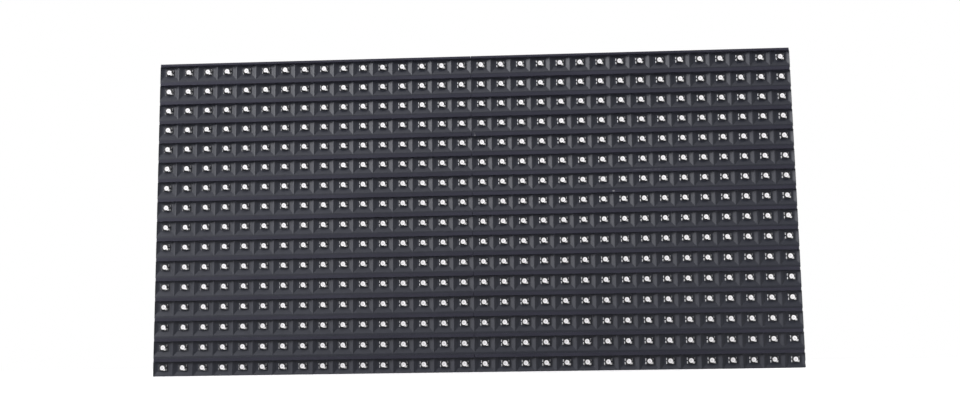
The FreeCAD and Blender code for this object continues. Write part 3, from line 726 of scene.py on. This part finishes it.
def strips(name, path, width, thickness, centres, base, direction, materials):
    """Bent metal strips: a rectangle carried along a path of (reach, height) points.

    The rectangle's four corners lie half a thickness to either side of the path, along the
    path's own normal, and half a width up and down the panel. Centres are (x, side, z).
    """
    path = np.array(path, float)
    heading = np.gradient(path, axis=0)
    heading /= np.linalg.norm(heading, axis=1)[:, None]
    normal = np.stack([-heading[:, 1], heading[:, 0]], -1) * thickness / 2
    inner, outer = path - normal, path + normal
    half = np.full(len(path), width / 2)
    corners = [(inner, -half), (outer, -half), (outer, half), (inner, half)]
    section = np.stack([np.stack([edge[:, 0], edge[:, 1], up], -1) for edge, up in corners], 1)
    centres = np.array(centres, float)
    side = centres[:, 1]
    placed = np.repeat(section[None], len(centres), 0)
    placed[..., 0] = placed[..., 0] * side[:, None, None] + centres[:, 0][:, None, None]
    placed[..., 2] += centres[:, 2][:, None, None]
    placed[..., 1] = base + direction * placed[..., 1]
    placed[side < 0] = placed[side < 0][:, :, ::-1]
    faces = ring_faces(len(path), 4, len(centres))
    if direction > 0:
        faces = [face[::-1] for face in faces]
    return build_mesh(name, placed, faces, materials)


def lead_places(centres, offsets):
    """A place on both sides of each centre for every offset up the panel."""
    places = [(x, side, z + offset) for x, _, z in centres for side in (-1, 1) for offset in offsets]
    return np.array(places)


def add_led_leads(board_front, metal):
    """Four tinned leads to a package, bent down its ends to the board."""
    places = lead_places(pixel_centres(), (-LEAD_OFFSET, LEAD_OFFSET))
    out = LEAD_REACH - LEAD_THICKNESS / 2
    path = [(CASE_HALF_LENGTH - 0.1 * MM, LEAD_RISE), (out - 0.08 * MM, LEAD_RISE),
            (out, LEAD_RISE - 0.1 * MM), (out, 0.05 * MM)]
    leads = strips("led_leads", path, LEAD_WIDTH, LEAD_THICKNESS, places, board_front, -1, [metal])


def places_at(pairs):
    """Places as (across, 0, up) in metres, from pairs in millimetres."""
    pairs = np.array(pairs, float) * MM
    return np.stack([pairs[:, 0], 0 * pairs[:, 0], pairs[:, 1]], -1)


def chip_places(kind):
    """The middles of every chip of one kind."""
    across, up = kind[:2]
    return places_at([(x, z) for x in across for z in up])


def moulded_shape(length, width, height):
    """A chip's body: rectangles that widen up to the parting line and narrow above it."""
    half_length, half_width = length / 2, width / 2
    draft = 0.13 * MM
    sizes = [(half_width - draft, half_length - draft, 0.1 * MM, 1),
             (half_width, half_length, height / 2, 1),
             (half_width, half_length, height / 2 + 0.06 * MM, 1),
             (half_width - draft, half_length - draft, height - 0.06 * MM, 1),
             (half_width - 1.4 * draft, half_length - 1.4 * draft, height, 1)]
    return rings(sizes, BOX_POINTS)


def map_from_middles(piece, centres, points_each):
    """A UV map in centimetres, with each shape's middle at (0.5, 0.5)."""
    mesh = piece.data
    points = np.empty(len(mesh.vertices) * 3)
    mesh.vertices.foreach_get("co", points)
    points = points.reshape(-1, 3)
    middles = np.repeat(centres, points_each, 0)
    flat = (points - middles)[:, [0, 2]] / (10 * MM) + 0.5
    corners = np.empty(len(mesh.loops), dtype=np.int32)
    mesh.loops.foreach_get("vertex_index", corners)
    layer = mesh.uv_layers.new(name="from_middle")
    layer.data.foreach_set("uv", flat[corners].ravel())


def add_chips(board_back, epoxy, metal):
    """The chips on the back of the board, with their gull-wing legs."""
    shapes, middles, legs = [], [], []
    for kind in CHIP_KINDS:
        length, width, height, per_side, step, reach = kind[2:]
        centres = chip_places(kind)
        shape = moulded_shape(length * MM, width * MM, height * MM)
        shapes.append(copies_at(shape, centres, board_back, 1).reshape(-1, *shape.shape))
        middles.append(centres)
        offsets = (np.arange(per_side) - (per_side - 1) / 2) * step * MM
        places = lead_places(centres, offsets)
        legs.append((places, width * MM / 2, height * MM, reach * MM, step * MM))
    centres = np.concatenate(middles)
    placed = np.concatenate(shapes)
    count, around = placed.shape[1:3]
    bodies = build_mesh("chip_bodies", placed, ring_faces(count, around, len(centres)), [epoxy],
                        smooth_angle=SMOOTH_ANGLE)
    map_from_middles(bodies, centres, count * around)
    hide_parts(*CHIP_NODES)
    for number, (places, side, height, reach, step) in enumerate(legs):
        middle = height / 2
        foot = LEG_THICKNESS / 2 + 0.02 * MM
        path = [(side - 0.1 * MM, middle), (side + 0.28 * MM, middle),
                (side + 0.42 * MM, middle - 0.15 * MM), (reach - 0.62 * MM, foot + 0.08 * MM),
                (reach - 0.5 * MM, foot), (reach, foot)]
        width = step * LEG_WIDTH_SHARE
        piece = strips(f"chip_legs_{number + 1}", path, width, LEG_THICKNESS, places, board_back,
                       1, [metal])


def add_small_parts(board_back, ceramic, metal):
    """Resistors and ceramic capacitors round the drivers: a body between two tinned ends."""
    drivers = chip_places(CHIP_KINDS[0])
    offsets = places_at(SMALL_PART_OFFSETS)
    centres = (drivers[:, None] + offsets[None]).reshape(-1, 3)
    length, width, height = SMALL_PART_HALF_LENGTH, SMALL_PART_HALF_WIDTH, SMALL_PART_HEIGHT
    edge = 0.05 * MM
    body = [(0.7 * length, width - edge, 0, 1), (0.7 * length, width - edge, height - edge, 1),
            (0.65 * length, width - 2 * edge, height, 1)]
    bodies = turned_pieces("small_part_bodies", rings(body, BOX_POINTS), centres, board_back, 1,
                           [ceramic])
    cap = [(0.2 * length, width, 0, 1), (0.2 * length, width, height, 1),
           (0.2 * length - edge, width - edge, height + 0.4 * edge, 1)]
    ends = np.concatenate([centres - (0.8 * length, 0, 0), centres + (0.8 * length, 0, 0)])
    caps = turned_pieces("small_part_ends", rings(cap, BOX_POINTS), ends, board_back, 1, [metal])


def add_outlines(board_back, print_white):
    """Printed lines round the chips, headers and cans: a low rectangular wall for each."""
    boxes = []
    for kind in CHIP_KINDS:
        length, reach = kind[2], kind[7]
        boxes.append((chip_places(kind), reach + PRINT_PAST_LEGS, length / 2 + PRINT_PAST_ENDS))
    for places, half_length, half_height in PRINTED_BOXES:
        boxes.append((places_at(places), half_length, half_height))
    rise = PRINT_RISE
    for number, (centres, half_length, half_height) in enumerate(boxes):
        outer = (half_length * MM, half_height * MM)
        inner = (half_length * MM - PRINT_LINE, half_height * MM - PRINT_LINE)
        sizes = [(*outer, -rise, 1), (*outer, rise, 1), (*inner, rise, 1), (*inner, -rise, 1)]
        lines = turned_pieces(f"printed_outlines_{number + 1}", rings(sizes, BOX_POINTS), centres,
                              board_back, 1, [print_white])


def add_cans(board_back, aluminium, plastic):
    """The bulk capacitors: a can with a rolled groove on a square plastic foot."""
    centres = places_at(CAN_PLACES)
    radius, height = CAN_RADIUS, CAN_HEIGHT
    profile = [(radius - 0.1 * MM, 0.9 * MM), (radius, 1.1 * MM), (radius, 1.5 * MM),
               (radius - 0.14 * MM, 1.68 * MM), (radius - 0.3 * MM, 1.95 * MM),
               (radius - 0.14 * MM, 2.22 * MM), (radius, 2.4 * MM), (radius, height - 0.5 * MM),
               (radius - 0.06 * MM, height - 0.2 * MM), (radius - 0.2 * MM, height - 0.06 * MM),
               (radius - 0.42 * MM, height), (radius - 0.6 * MM, height - 0.02 * MM),
               (radius - 0.75 * MM, height - 0.12 * MM)]
    sizes = [(reach, reach, level, 0) for reach, level in profile]
    cans = turned_pieces("capacitor_cans", rings(sizes, ROUND_POINTS), centres, board_back, 1,
                         [aluminium])
    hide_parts("bulk_capacitors")
    foot = [(radius + 0.1 * MM, radius + 0.1 * MM, 0.05 * MM, 0.9),
            (radius + 0.15 * MM, radius + 0.15 * MM, 0.15 * MM, 0.9),
            (radius + 0.15 * MM, radius + 0.15 * MM, 0.85 * MM, 0.9),
            (radius + 0.05 * MM, radius + 0.05 * MM, 0.98 * MM, 0.9)]
    feet = turned_pieces("capacitor_feet", rings(foot, FOOT_POINTS), centres, board_back, 1,
                         [plastic])


def cross_ring(reach, waist, level):
    """A cross: at angle t its radius is the waist plus the rest times |cos 2t| to the sixth."""
    turn = np.linspace(0, 2 * np.pi, ROUND_POINTS, endpoint=False) + np.pi / 4
    radius = waist + (reach - waist) * np.abs(np.cos(2 * turn)) ** 6
    return np.stack([radius * np.cos(turn), level + 0 * turn, radius * np.sin(turn)], -1)


def screw_shape():
    """A pan head: its radius follows a quarter ellipse, and a cross is pressed into its top."""
    rise = np.radians([0, 25, 50, 70])
    flat = 0.62
    spread = flat + (1 - flat) * np.cos(rise)
    level = SCREW_HEAD_HEIGHT * (0.35 + 0.65 * np.sin(rise) / np.sin(rise[-1]))
    heads = [(SCREW_HEAD_RADIUS, SCREW_HEAD_RADIUS, 0, 0)]
    heads += [(SCREW_HEAD_RADIUS * s, SCREW_HEAD_RADIUS * s, h, 0) for s, h in zip(spread, level)]
    outside = rings(heads, ROUND_POINTS)
    turn = np.pi / 4
    turned = outside.copy()
    turned[..., 0] = outside[..., 0] * math.cos(turn) - outside[..., 2] * math.sin(turn)
    turned[..., 2] = outside[..., 0] * math.sin(turn) + outside[..., 2] * math.cos(turn)
    mouth = cross_ring(CROSS_REACH, CROSS_WAIST, SCREW_HEAD_HEIGHT)
    root = cross_ring(0.6 * CROSS_REACH, 0.7 * CROSS_WAIST, 0.35 * SCREW_HEAD_HEIGHT)
    return np.concatenate([turned, mouth[None], root[None]])


def add_screws(metal):
    """The frame's screws, each in the floor of its well."""
    screws = turned_pieces("frame_screws", screw_shape(), places_at(SCREW_PLACES), WELL_FLOOR, 1,
                           [metal], smooth_angle=SCREW_SMOOTH_ANGLE)


def insert_shape(length):
    """A hexagonal insert with a chamfered mouth and a cut thread.

    The hexagon's radius at angle t is half its flats over cos(t - the middle of its flat). The
    bore's radius at angle t and depth d rises and falls between core and crest as a triangle
    wave of d / pitch + t / full turn.
    """
    turn = np.linspace(0, 2 * np.pi, INSERT_POINTS, endpoint=False)
    middle = np.pi / 3 * np.round(turn / (np.pi / 3))
    hexagon = INSERT_FLATS / 2 / np.cos(turn - middle)
    depth = np.arange(0.45 * MM, length - 0.4 * MM, THREAD_PITCH / 4)[:, None]
    wave = 2 * np.abs((depth / THREAD_PITCH + turn[None] / (2 * np.pi)) % 1 - 0.5)
    bore = THREAD_CORE + (THREAD_CREST - THREAD_CORE) * wave
    even = np.ones((1, INSERT_POINTS))
    radius = np.concatenate([hexagon[None] - 0.02 * MM, hexagon[None] - 0.02 * MM,
                             hexagon[None] - 0.3 * MM, even * (THREAD_CREST + 0.35 * MM),
                             even * THREAD_CREST, bore, even * THREAD_CORE])
    level = np.concatenate([[length, 0.3 * MM, 0, 0, 0.35 * MM], depth[:, 0], [length - 0.3 * MM]])
    height = -level[:, None] * even
    return np.stack([radius * np.cos(turn), height, radius * np.sin(turn)], -1)


def add_inserts(brass):
    """The six brass inserts in the back of the frame."""
    low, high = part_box("cabinet_inserts")
    inserts = turned_pieces("threaded_inserts", insert_shape(high.y - low.y),
                            places_at(INSERT_PLACES), high.y, 1, [brass])
    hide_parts("cabinet_inserts")


def soften(node, width, segments):
    """Join a CAD node's loose triangles and round its edges a little."""
    weld = node.modifiers.new("join", "WELD")
    weld.merge_threshold = JOIN_DISTANCE
    bevel = node.modifiers.new("round", "BEVEL")
    bevel.width = width
    bevel.segments = segments
    bevel.limit_method = "ANGLE"
    bevel.angle_limit = ROUNDED_ANGLE
    bevel.use_clamp_overlap = True


def wear(node, material):
    """Give a node of the frame its finish."""
    mesh = node.data
    mesh.materials.clear()
    mesh.materials.append(material)


def dress_frame(nodes):
    """The finishes of the nodes that stay as they are."""
    plastic = mask_plastic()
    connector = connector_plastic()
    gold = gold_plate()
    finishes = {
        "mask_left": plastic, "mask_right": plastic, "circuit_board": board_laminate(),
        "rear_frame": frame_plastic(), "sealing_gasket": seal_rubber(),
        "power_header": connector, "power_pins": gold, "data_in_header": connector,
        "data_out_header": connector, "data_in_pins": gold, "data_out_pins": gold}
    for name, material in finishes.items():
        wear(nodes[name], material)


def add_camera():
    """The photograph's camera, aimed at a point and leaned about its own line of sight."""
    data = bpy.data.cameras.new("camera")
    data.lens = CAMERA_LENS
    data.sensor_width = SENSOR_WIDTH
    data.clip_start = 0.01
    data.clip_end = 50
    camera = bpy.data.objects.new("camera", data)
    bpy.context.scene.collection.objects.link(camera)
    place, aim = Vector(CAMERA_PLACE), Vector(CAMERA_AIM)
    level = (aim - place).to_track_quat("-Z", "Y").to_matrix().to_4x4()
    camera.matrix_world = Matrix.Translation(place) @ level @ Matrix.Rotation(CAMERA_ROLL, 4, "Z")
    bpy.context.scene.camera = camera


def add_lamp(name, place, size, power, colour):
    """A soft rectangular lamp, aimed at the origin."""
    data = bpy.data.lights.new(name, "AREA")
    data.shape = "RECTANGLE"
    data.size, data.size_y = size
    data.energy = power
    data.color = colour
    lamp = bpy.data.objects.new(name, data)
    bpy.context.scene.collection.objects.link(lamp)
    place = Vector(place)
    turn = (-place).to_track_quat("-Z", "Y").to_matrix().to_4x4()
    lamp.matrix_world = Matrix.Translation(place) @ turn


def add_light():
    """Windows before and behind the panel and an even pale room, which the camera sees as white."""
    for lamp in LAMPS:
        add_lamp(*lamp)
    world = bpy.data.worlds.new("room")
    world.use_nodes = True
    tree = world.node_tree
    shade = tree.nodes["Background"]
    shade.inputs["Color"].default_value = (1, 1, 1, 1)
    ray = tree.nodes.new("ShaderNodeLightPath")
    seen = ray.outputs["Is Camera Ray"]
    for kind in ("Is Glossy Ray", "Is Transmission Ray"):
        larger = tree.nodes.new("ShaderNodeMath")
        larger.operation = "MAXIMUM"
        tree.links.new(seen, larger.inputs[0])
        tree.links.new(ray.outputs[kind], larger.inputs[1])
        seen = larger.outputs[0]
    strength = tree.nodes.new("ShaderNodeMapRange")
    strength.inputs["To Min"].default_value = ROOM_STRENGTH
    strength.inputs["To Max"].default_value = 1.0
    tree.links.new(seen, strength.inputs["Value"])
    tree.links.new(strength.outputs["Result"], shade.inputs["Strength"])
    bpy.context.scene.world = world


def add_floor(height):
    """A pale floor under the panel's lower edge."""
    half = FLOOR_HALF
    corners = [(-half, -half, height), (half, -half, height),
               (half, half, height), (-half, half, height)]
    mesh = bpy.data.meshes.new("floor")
    mesh.from_pydata(corners, [], [(0, 1, 2, 3)])
    finish = Finish("pale_floor", Roughness=0.9, Specular_IOR_Level=0.0)
    distance = (finish.x * finish.x + finish.y * finish.y) ** 0.5
    far = distance.fade(FLOOR_NEAR, FLOOR_FAR)
    finish.set(Base_Color=finish.mix(far, (0.93, 0.93, 0.93), (0.3, 0.3, 0.3)))
    seen = finish.node("ShaderNodeLightPath", output="Is Camera Ray")
    glow = finish.mix(far, (0.45, 0.45, 0.45), (0.95, 0.95, 0.95))
    finish.set(Emission_Color=finish.mix(seen, (0, 0, 0), glow), Emission_Strength=1)
    mesh.materials.append(finish.material)
    floor = bpy.data.objects.new("floor", mesh)
    bpy.context.scene.collection.objects.link(floor)


def main():
    """Dress the solids' frame, add the finer pieces, and set camera, light and floor."""
    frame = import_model()
    cad_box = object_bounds()
    board_low, board_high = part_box("circuit_board")
    board_front, board_back = board_low.y, board_high.y
    tin = tinned_metal()
    dress_frame(frame["nodes"])
    add_led_packages(board_front, case_white(), case_black(), cup_resin())
    add_led_leads(board_front, lead_tin())
    add_silicone(board_front, sealing_silicone(), cad_box)
    add_chips(board_back, chip_epoxy(), tin)
    add_small_parts(board_back, part_ceramic(), tin)
    add_outlines(board_back, silk_white())
    add_cans(board_back, can_aluminium(), connector_plastic())
    add_screws(screw_steel())
    add_inserts(insert_brass())
    for name, width, segments in ROUNDED_EDGES:
        soften(frame["nodes"][name], width * MM, segments)
    add_camera()
    add_light()
    add_floor(cad_box[0].z)
    bpy.context.scene.view_settings.view_transform = "Standard"


main()
